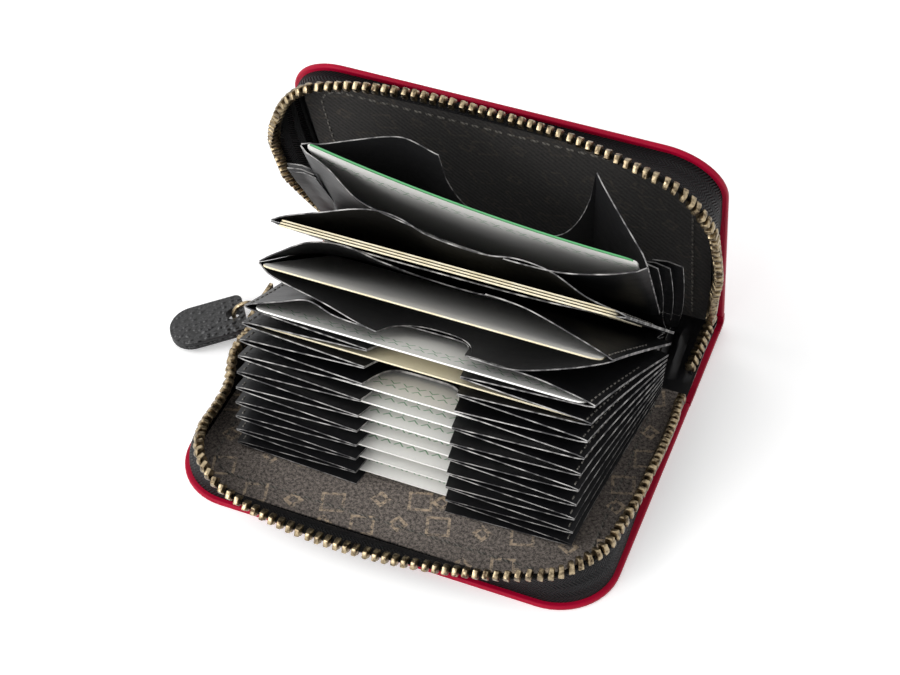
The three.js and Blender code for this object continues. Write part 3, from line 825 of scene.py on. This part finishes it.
class HOLDER_OT_zip(bpy.types.Operator):
    """Models the zip tapes round the covers, their rows of teeth and the stops at the rows' ends"""
    bl_idname = "holder.zip"
    bl_label = "Zip"

    def execute(self, context):
        s = sizes()
        flange, flange_width, flange_rise = 2 / 16, 2.2, 0.05  # the tape's foot under the lining
        outward, slider_share, outward_share = 0.55, 0.15, 0.2125  # past the slider's run the tape stands further out
        steps = 600
        for name, place, body in covers():
            path, row = rim_path(s.tape_inset, s.tape_gap, 1.0)
            path = [(point + normal * outward * ramp(min(at, 1 - at), slider_share, outward_share), normal, at)
                    for point, normal, at in path]
            last = len(path) - 1

            def shape(u, v):
                step = path[round(u * last)]
                if v < flange:
                    return step[0] - step[1] * flange_width * (1 - v / flange) + Vector((0, 0, flange_rise))
                return tape_frame(name, step, (v - flange) / (1 - flange)).translation

            tape = add_sheet(last, 16, shape)
            for corner in tape.data.uv_layers.active.data:
                corner.uv = (corner.uv[0] * row * MM, corner.uv[1] * (s.tape_top - s.leather) * MM)
            thicken(tape, s.tape)
            finish_piece(tape, name + "_tape", place, body, [name + "_zip_tape"], "zip_tape", "tape")
            cord = add_sheet(last, 10, lambda u, v: self.cord(name, path[round(u * last)], v))
            modify(cord, "WELD", merge_threshold=0.001)
            finish_piece(cord, name + "_tape_cord", place, body, [], "zip_tape", "tape")
            ends = s.stop_length / row
            frames = [tape_frame(name, between(path, ends + (1 - 2 * ends) * i / steps), 1.0) for i in range(steps + 1)]
            teeth = repeat(self.tooth(s), self.evenly(frames, s.tooth_pitch))
            finish_piece(teeth, name + "_teeth", place, body, [name + "_zip_teeth"], "aged_brass", "brass")
            at = ends / 2 if name == "bottom" else 1 - ends / 2
            stop = repeat(self.stop(s), [tape_frame(name, between(path, at), 1.0)])
            finish_piece(stop, name + "_stop", place, body, [name + "_zip_stop"], "aged_brass", "brass")
        for side, name in SIDES:
            self.spine_end(s, side, name)
        return {"FINISHED"}

    def spine_end(self, s, side, name):
        """Models the end of the zip that runs on along one end of the spine, leaning inward."""
        low, high, height, slant = 5.5, 23.5, 2.0, 0.4
        reach, taper, level = 56.3, 0.6, 0.3
        place = places().spine
        rise, out = Vector((-side * slant, 0, 1)).normalized(), Vector((side, 0, slant)).normalized()

        def foot(y):
            return Vector((side * (reach - taper * (high - y) / (high - low)), y, level))

        tape = add_sheet(12, 4, lambda u, v: foot(low + (high - low) * u) + rise * height * v)
        set_uv(tape, lambda co: (co.y, co.z))
        thicken(tape, s.tape)
        finish_piece(tape, f"spine_tape_{name}", place, "spine", [], "zip_tape", "tape")
        turned = Matrix((out.cross(rise), out, rise)).transposed().to_4x4()
        frames = [Matrix.Translation(foot(low + s.tooth_pitch * (i + 0.5)) + rise * height) @ turned
                  for i in range(int((high - low) / s.tooth_pitch))]
        finish_piece(repeat(self.tooth(s), frames), f"spine_teeth_{name}", place, "spine", [], "aged_brass", "brass")

    def stop(self, s):
        """Models the stop: a short clip over the tape's edge with a rounded back."""
        half, deep = s.stop_length / 2 - 0.05, s.tooth_depth / 2
        return add_plate((-half, -deep), (half, deep), (), s.tooth_height * 0.9, 0.35)

    def evenly(self, frames, pitch):
        """Picks the frames that lie an even pitch apart along the tape's edge."""
        picked, run = [], 0.25 * pitch
        for a, b in zip(frames, frames[1:]):
            run += (b.translation - a.translation).length
            if run >= pitch:
                run -= pitch
                picked.append(b)
        return picked

    def cord(self, name, step, v):
        """Gives a point of the corded edge that the teeth grip."""
        a, wide, tall, drop = 2 * pi * v, 0.75, 0.6, 0.1
        return tape_frame(name, step, 1.0) @ Vector((0, wide * cos(a), tall * sin(a) - drop))

    def tooth(self, s):
        """Models one tooth: a foot that grips the cord, a waist, and a rounded head."""
        width, grip, tall = 1.55, 0.5, s.tooth_height
        obj = add_block((width, s.tooth_depth * 0.86, tall * 0.5), tall * 0.25 - grip)
        edit(obj, lambda co: co.z > 0.3)
        for rise, taper in ((0.22, (0.86, 0.86, 1)), (0.38, (0.92, 0.9, 1))):
            bpy.ops.mesh.extrude_region_move(TRANSFORM_OT_translate={"value": (0, 0, tall * rise)})
            bpy.ops.transform.resize(value=taper)
        bpy.ops.object.mode_set(mode="OBJECT")
        soften(obj, 0.28, 2, 40)
        return obj


# How far a wall stands off along its mouth, by pocket and side: places along the mouth with heights
POCKET_EDGES = {
    (10, 1): ((-45, 0.3), (-36, 3.4), (-29, 5.6), (-22, 3.8), (-12, 3.2), (12, 3.2), (30, 2.6), (45, 0.3)),
    (11, -1): ((-45, 0.3), (-41, 2.4), (-27, 5.2), (-13, 8.4), (0, 8.8), (13, 8.4), (23, 8.2), (36, 4.2), (45, 0.3)),
    (11, 1): ((-45, 0.3), (-41, 3.2), (-34, 7.6), (-25, 9.2), (-14, 7.8), (0, 7.0), (20, 6.6), (34, 3.4), (45, 0.3)),
    (12, -1): ((-45, 0.3), (-25, 1.4), (0, 1.6), (25, 1.4), (45, 0.3)),
    (12, 1): ((-45, 0.3), (-41, 2.2), (-33, 5.0), (-25, 7.8), (-19, 8.8), (-13, 8.2), (-7, 6.4), (3, 5.4), (10, 5.4),
              (15, 6.2), (20, 6.2), (26, 5.2), (35, 1.9), (45, 0.3)),
    (13, -1): ((-45, 0.3), (-37, 2.0), (-28, 6.0), (-22, 7.0), (0, 7.6), (24, 6.6), (36, 3.8), (45, 0.3)),
    (13, 1): ((-45, 0.3), (-41, 1.2), (-33, 5.4), (-25, 9.4), (-20, 10.8), (-11, 9.8), (5, 9.0), (20, 11.4), (24, 14.4),
              (26.4, 17.0), (27.2, 17.8), (28.2, 16.4), (36, 8.8), (45, 0.3)),
}
PLAIN_MOUTH = 12  # the pocket with no notch
WIDE_NOTCH = (-11, 26.8, 27)  # ends and depth of the notch in the highest wall
POCKET_LEAN = {11: 1.5, 12: 2.0, 13: 3.4}  # how far a pocket's mouth lies to the right
POCKET_FINISHES = ("sheet", "cut", "thread")


def pocket_swell(number, side, x, d):
    """Gives how far a pocket's wall stands off its middle plane at a distance from its root."""
    s = sizes()
    half = s.pocket_width / 2
    points = POCKET_EDGES.get((number, side))
    if points is None:
        room, play, laid = 0.0279, 0.15, 0.37  # room per distance from the fan's line, and what of it is kept
        flat = s.notch_width / 2 / half
        stand = max(0, room * (FAN_RADIUS + d) - play - laid) * min(1, (1 - abs(x) / half) / (1 - flat))
    else:
        stand = max(0, smooth_curve(points, x) - 0.3) * (max(0, d) / s.pocket_depth) ** 1.4
    seam, seam_width = 0.17, 2.0
    gap = 0.7 if number == TOP_POCKET else 0.2
    return seam + gap * ramp(half - abs(x), 0, seam_width) + stand


def pocket_twist(number, x, d):
    """Gives the slight twist of the top pocket and its card."""
    bow, tilt = 0.000845, 0.0825
    return (bow * x - tilt) * x * d / sizes().pocket_depth if number == TOP_POCKET else 0.0


def pocket_shift(number, x, d):
    """Gives how far a pocket leans to the right, and its sides spread towards its root."""
    s = sizes()
    lean = POCKET_LEAN.get(number, 0) * d / s.pocket_depth
    spread = 5.0 * ramp(s.pocket_depth - d, 0, s.pocket_depth) ** 1.3 if number < TOP_POCKET else 0
    return lean + spread * x / (s.pocket_width / 2)


def press(obj, number, lift):
    """Gives a pocket or its card a mesh of its own."""
    sin(lift)
    cos(lift)
    tuple(fan_point(FAN_RADIUS, lift) * MM)
    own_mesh(obj)


class HOLDER_OT_pockets(bpy.types.Operator):
    """Models the pockets: two soft walls each, sewn at their sides, with a thumb notch and pale cut edges"""
    bl_idname = "holder.pockets"
    bl_label = "Pockets"

    def execute(self, context):
        for number, lift in enumerate(pocket_angles(), 1):
            name = f"pocket_{number:02d}"
            obj = join(self.wall(number, -1), self.wall(number, 1), self.seams(number))
            finish_piece(obj, name, pocket_place(lift), "base" if number == 1 else name,
                         [name + "_lower_wall", name + "_upper_wall"], "pocket_sheet", *POCKET_FINISHES)
            press(obj, number, lift)
        return {"FINISHED"}

    def wall(self, number, side):
        """Models one wall; side is -1 for the lower wall and 1 for the upper one."""
        s = sizes()
        half, hem = s.pocket_width / 2, 0.5

        def shape(u, v):
            x = half * (2 * u - 1)
            d = (s.pocket_depth - self.notch(x, number, side)) * (1 - v) - hem * v
            off = side * pocket_swell(number, side, x, d) + pocket_twist(number, x, d)
            return Vector((x + pocket_shift(number, x, d), -d, off))

        return thicken(add_sheet(90, 14, shape), s.wall, *POCKET_FINISHES)

    def notch(self, x, number, side):
        """Gives the depth of the thumb notch at a place along the mouth."""
        s = sizes()
        low, high, depth = -s.notch_width / 2, s.notch_width / 2, s.notch_depth
        if number == TOP_POCKET and side > 0:
            low, high, depth = WIDE_NOTCH
        if not low < x < high or number == PLAIN_MOUTH:
            return 0
        t = abs(x - (low + high) / 2) / ((high - low) / 2)
        return depth * (1 - t ** (5 if number <= STACKED else 2.6)) ** (1 / 2)

    def seams(self, number):
        """Models the stitches down both sides of a pocket."""
        s = sizes()
        inset, first, pitch, count, rise = 1.4, 1.8, 3.0, 13, 0.08
        frames = []
        for side, _ in SIDES:
            x = side * (s.pocket_width / 2 - inset)
            for i in range(count):
                d = s.pocket_depth - first - pitch * i
                lift = pocket_swell(number, 1, x, d) + pocket_twist(number, x, d) + s.wall / 2 + rise
                frames.append(Matrix.Translation((x + pocket_shift(number, x, d), -d, lift)) @ turn(pi / 2, "Z"))
        return paint(repeat(add_stitch((1.7, 0.4, 0.24)), frames), *POCKET_FINISHES, index=2)


# How far each card stands out of its pocket's mouth, from the lowest pocket up; one pocket is empty
CARD_OUT = (-3.2, -3.6, -3.2, -3.8, -3.2, -3.6, -3.2, None, -1.5, 0.5, 5, 2, 4)
CARD_FINISHES = {9: ("cream", "edge"), 11: ("card", "edge"), 12: ("cream", "edge"), 13: ("topped", "topped")}
CARD_LAYERS = {12: ((0, 0.0), (-0.7, 0.66), (0.5, -0.66))}  # cards in one pocket: how far further out, and how high


class HOLDER_OT_cards(bpy.types.Operator):
    """Models the cards in the pockets"""
    bl_idname = "holder.cards"
    bl_label = "Cards"

    def execute(self, context):
        for number, (lift, out) in enumerate(zip(pocket_angles(), CARD_OUT), 1):
            if out is None:
                continue
            finishes = CARD_FINISHES.get(number, ("lined", "lined"))
            made = [self.card(number, out + slip, level, finishes)
                    for slip, level in CARD_LAYERS.get(number, ((0, 0.0),))]
            obj = join(*made) if len(made) > 1 else made[0]
            name = f"card_{number:02d}"
            finish_piece(obj, name + "_card", pocket_place(lift), name, [name], "card", *finishes)
            press(obj, number, lift)
        return {"FINISHED"}

    def card(self, number, out, level, finishes):
        """Models one card with its free edge this far out of the pocket's mouth."""
        s = sizes()
        half, front = s.card_length / 2, -s.pocket_depth - out
        back = front + s.card_width

        def shape(u, v):
            x, y = rounded(half * (2 * u - 1), front + s.card_width * v, (-half, front), (half, back),
                           (s.card_radius, s.card_radius))
            return Vector((x + pocket_shift(number, 0, -y), y, level + pocket_twist(number, x, -y)))

        obj = add_sheet(48, 30, shape)
        set_uv(obj, lambda co: (co.x, co.y - front))
        return thicken(obj, s.card, *finishes)


# The side leaves behind the top pocket: lean past it in degrees, inner and outer edge, and reach past its root
LEAVES = ((1.6, 41, 48.2, 42.5), (3.0, 43, 50.5, 39.5), (5.4, 45, 52.7, 35))
LEAF_ROOT = 7.5  # from the fan's line
LEAF_SPLIT = (0.265, 0.27)  # shares of the leaves where the bellows' part ends and the pocket's part starts


class HOLDER_OT_bellows(bpy.types.Operator):
    """Models the pleats that join the pockets' roots, the leaves behind the top pocket and the spine's gussets"""
    bl_idname = "holder.bellows"
    bl_label = "Bellows and gussets"

    def execute(self, context):
        lifts = pocket_angles()
        tilt = context.scene.holder_settings.spine_tilt
        normal = (0, -sin(tilt), cos(tilt))
        pleats = join(*self.leaf_sheets(lifts[-1], 0.0, LEAF_SPLIT[0]), self.pleats(lifts))
        finish_piece(pleats, "bellows_pleats", Matrix.Identity(4), "spine", ["pocket_bellows"], "pocket_sheet",
                     "sheet", "cut")
        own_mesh(pleats)
        leaves = join(*self.leaf_sheets(lifts[-1], LEAF_SPLIT[1], 1.0))
        finish_piece(leaves, "side_leaves", Matrix.Identity(4), "pocket_13", [], "pocket_sheet", "sheet", "cut")
        sin(lifts[-1])
        cos(lifts[-1])
        tuple(fan_point(FAN_RADIUS, lifts[-1]) * MM)
        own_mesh(leaves)
        for side, name in SIDES:
            gusset = self.gusset(side)
            finish_piece(gusset, f"gusset_{name}", places().spine, "spine", [f"spine_gusset_{name}"], "pocket_sheet",
                         "sheet", "cut")
            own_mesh(gusset)
        return {"FINISHED"}

    def pleats(self, lifts):
        """Models the pleated sheet that runs up to each pocket's root and back to the fan's line."""
        root_gap, spine_gap, valley, half, rise = 3.0, 16.6, 7.0, 45.5, 0.02
        tips = [min(FAN_RADIUS - root_gap, spine_gap / cos(a)) for a in lifts]
        turns = [(tips[0], lifts[0])]
        for a, b, tip in zip(lifts, lifts[1:], tips[1:]):
            turns += [(valley, (a + b) / 2), (tip, b)]
        turns += [(10.5, lifts[-1] + radians(9))]
        last = len(turns) - 1

        def shape(u, v):
            i = min(int(v * last), last - 1)
            (ra, a), (rb, b) = turns[i], turns[i + 1]
            t = v * last - i
            return fan_point(ra + (rb - ra) * t, a + (b - a) * t, half * (2 * u - 1)) + Vector((0, 0, rise))

        return thicken(add_sheet(24, 2 * last, shape), 0.25, "sheet", "cut")

    def leaf_sheets(self, lift, low, high):
        """Models the three side leaves at each end of the bellows, between two shares of their length."""
        sheets = []
        for side, _ in SIDES:
            for lean, inner, outer, reach in LEAVES:
                def shape(u, v):
                    at = low + (high - low) * v
                    x = inner + (outer - inner) * u - 4.5 * (1 - at) ** 2 * u
                    r = LEAF_ROOT + (FAN_RADIUS - LEAF_ROOT + reach) * at
                    a = lift + radians(lean * (0.5 + 0.5 * at) + 0.5 * (1 - abs(2 * u - 1)) * at)
                    return fan_point(r, a, side * x)
                sheets.append(thicken(add_sheet(8, 12, shape), 0.3, "sheet", "cut"))
        return sheets

    def gusset(self, side):
        """Models the folded gusset at one end of the spine."""
        inner, width, start, run, tall, level = 46, 10.6, 1.6, 24.8, 5, 0.95

        def shape(u, v):
            ridge = (1 - abs(2 * v - 1)) ** 0.8
            pleat = abs((u * 2.6 + 0.3 * v) % 1 - 0.5) * 2
            height = tall * ridge * (1 - 0.7 * u) * (0.35 + 0.65 * pleat)
            return Vector((side * (inner + width * u), start + run * v + 1.2 * pleat * ridge, level + height))

        return thicken(add_sheet(28, 24, shape), 0.3, "sheet", "cut")


class HOLDER_OT_pull(bpy.types.Operator):
    """Models the slider, its ring and the pebbled pull tab"""
    bl_idname = "holder.pull"
    bl_label = "Slider and pull"

    def execute(self, context):
        place = places().pull
        deselect()
        slider = bpy.data.objects.new("slider_body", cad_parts["zip_slider"].data.copy())
        context.scene.collection.objects.link(slider)
        slider.data.transform(Matrix.Scale(1 / MM, 4))
        edit(slider)
        bpy.ops.mesh.remove_doubles(threshold=0.001)
        bpy.ops.mesh.dissolve_limited(angle_limit=radians(1))
        bpy.ops.object.mode_set(mode="OBJECT")
        soften(slider, 0.3, 3, 40)
        finish_piece(slider, "slider_body", Matrix.Identity(4), "slider", ["zip_slider"], "aged_brass", "brass")

        deselect()
        bpy.ops.mesh.primitive_torus_add(major_radius=RING_RADIUS, minor_radius=RING_WIRE / 2, major_segments=64,
                                         minor_segments=20, location=(2.0, 0, 0), rotation=(pi / 2, 0, 0))
        finish_piece(bpy.context.object, "ring", place, "pull_ring", ["pull_ring"], "aged_brass", "brass")

        tab = join(*self.tab_layers())
        for face in tab.data.polygons:
            face.material_index = int(abs(face.normal.z) < 0.5)
        finish_piece(tab, "tab", place, "pull_tab", ["pull_tab"], "pull_leather", "pebble", "sheet")
        return {"FINISHED"}

    def tab_layers(self):
        """Models the tab's two leathers and the core between them, with the eye for the ring."""
        s = sizes()
        core, near_round, far_round, edge, eye, eye_place = 0.12, 2, 6.6, 0.35, 2.0, 5.8
        skin = s.tab / 2 - core
        layers = []
        for low, thick, grow in ((-s.tab / 2, skin, 0), (core, skin, 0), (-0.14, 0.28, -0.18)):
            near, far, half = s.tab_near - grow, s.tab_far + grow, s.tab_width / 2 + grow
            corners = [((x, y), r) for x, r in ((near, near_round), (far, far_round)) for y in (-half, half)]
            layer = add_plate((near, -half), (far, half), corners, thick, 0 if grow else edge)
            layer.data.transform(Matrix.Translation((0, 0, low)))
            deselect()
            bpy.ops.mesh.primitive_cylinder_add(radius=eye, depth=8, vertices=40, location=(eye_place, 0, 0))
            punch = bpy.context.object
            modify(layer, "BOOLEAN", operation="DIFFERENCE", object=punch, solver="EXACT")
            bpy.data.objects.remove(punch)
            layers.append(layer)
        return layers


# Lamps, in metres and watts: name, place, size and power
LAMPS = (("key", (-0.68, -0.45, 0.78), 0.6, 4.6), ("fill", (0.7, -0.4, 0.6), 0.5, 0.2),
         ("front", (-0.3, -0.82, 0.36), 0.6, 5.2), ("back", (-0.3, 0.7, 0.8), 0.8, 1.0))
LAMP_AIM = Vector((0, 0.02, 0.02))
CAMERA_PLACE = (0.1178, -0.2847, 0.3505)
CAMERA_TURN = (radians(44.65), 0, radians(21.72))
WHITE = (1, 1, 1, 1)


class HOLDER_OT_stage(bpy.types.Operator):
    """Sets the floor, the lights, the white surround and the camera"""
    bl_idname = "holder.stage"
    bl_label = "Stage"

    def execute(self, context):
        scene = context.scene
        floor, lights = self.floor(), [self.lamp(*choices) for choices in LAMPS]
        world = bpy.data.worlds.new("studio")
        world.use_nodes = True
        node = partial(add_node, world.node_tree)
        light = node("MapRange", (), {"Value": self.seen(node), "To Min": 0.62, "To Max": 1.0})
        set_inputs(world.node_tree.nodes["Background"], {"Strength": light, "Color": WHITE})
        scene.world = world
        deselect()
        bpy.ops.object.camera_add(location=CAMERA_PLACE, rotation=CAMERA_TURN)
        camera = bpy.context.object
        camera.data.lens = 72
        camera.data.sensor_width = 36
        camera.data.clip_start = 0.01
        scene.camera = camera
        scene.view_settings.view_transform = "Standard"
        return {"FINISHED"}

    def seen(self, node):
        """Gives 1 on rays that show the surround: seen directly, mirrored or through glass."""
        path = node("LightPath").node.outputs
        mirrored = node("Math", MAXIMUM, {0: path["Is Glossy Ray"], 1: path["Is Transmission Ray"]})
        return node("Math", MAXIMUM, {0: path["Is Camera Ray"], 1: mirrored})

    def floor(self):
        """Adds the pale floor, which is white where it is seen and keeps the shadow."""
        deselect()
        bpy.ops.mesh.primitive_plane_add(size=6, location=(0, 0, 0))
        plane = bpy.context.object
        plane.name = "floor"
        made, node, shader, _ = new_material("pale studio floor")
        set_inputs(shader, {"Base Color": (0.92, 0.92, 0.92, 1), "Roughness": 0.9})
        lift = node("Math", MULTIPLY, {0: self.seen(node), 1: 0.3})
        glow = node("Emission", (), {"Color": WHITE, "Strength": lift})
        both = node("AddShader", (), {0: shader.outputs[0], 1: glow})
        set_inputs(made.node_tree.nodes["Material Output"], {"Surface": both})
        plane.data.materials.append(made)
        return plane

    def lamp(self, name, place, size, power):
        """Adds a soft lamp that shines on the case."""
        deselect()
        bpy.ops.object.light_add(type="AREA", location=place)
        light = bpy.context.object
        light.name = name
        light.data.energy = power
        light.data.size = size
        light.rotation_euler = (LAMP_AIM - Vector(place)).to_track_quat("-Z", "Y").to_euler()
        return light


OPERATORS = (HOLDER_OT_covers, HOLDER_OT_linings, HOLDER_OT_zip, HOLDER_OT_pockets, HOLDER_OT_cards, HOLDER_OT_bellows,
             HOLDER_OT_pull, HOLDER_OT_stage)


class HOLDER_PT_panel(bpy.types.Panel):
    """Lists the pieces of the card holder"""
    bl_idname = "HOLDER_PT_panel"
    bl_label = "Card Holder"
    bl_space_type = "VIEW_3D"
    bl_region_type = "UI"
    bl_category = "Card Holder"

    def draw(self, context):
        scene = context.scene
        for operator in OPERATORS:
            self.layout.operator(operator.bl_idname)
        for group, kind in ((scene.holder_sizes, HolderSizes), (scene.holder_colours, HolderColours)):
            for key in kind.__annotations__:
                self.layout.prop(group, key)


CLASSES = (HolderSizes, HolderColours, HolderSettings, *OPERATORS, HOLDER_PT_panel)


def register():
    for kind in CLASSES:
        bpy.utils.register_class(kind)
    bpy.types.Scene.holder_sizes = PointerProperty(type=HolderSizes)
    bpy.types.Scene.holder_colours = PointerProperty(type=HolderColours)
    bpy.types.Scene.holder_settings = PointerProperty(type=HolderSettings)


def unregister():
    del bpy.types.Scene.holder_settings
    del bpy.types.Scene.holder_colours
    del bpy.types.Scene.holder_sizes
    for kind in reversed(CLASSES):
        bpy.utils.unregister_class(kind)


def main():
    register()
    for operator in OPERATORS:
        area, name = operator.bl_idname.split(".")
        getattr(getattr(bpy.ops, area), name)()


if __name__ == "__main__":
    main()
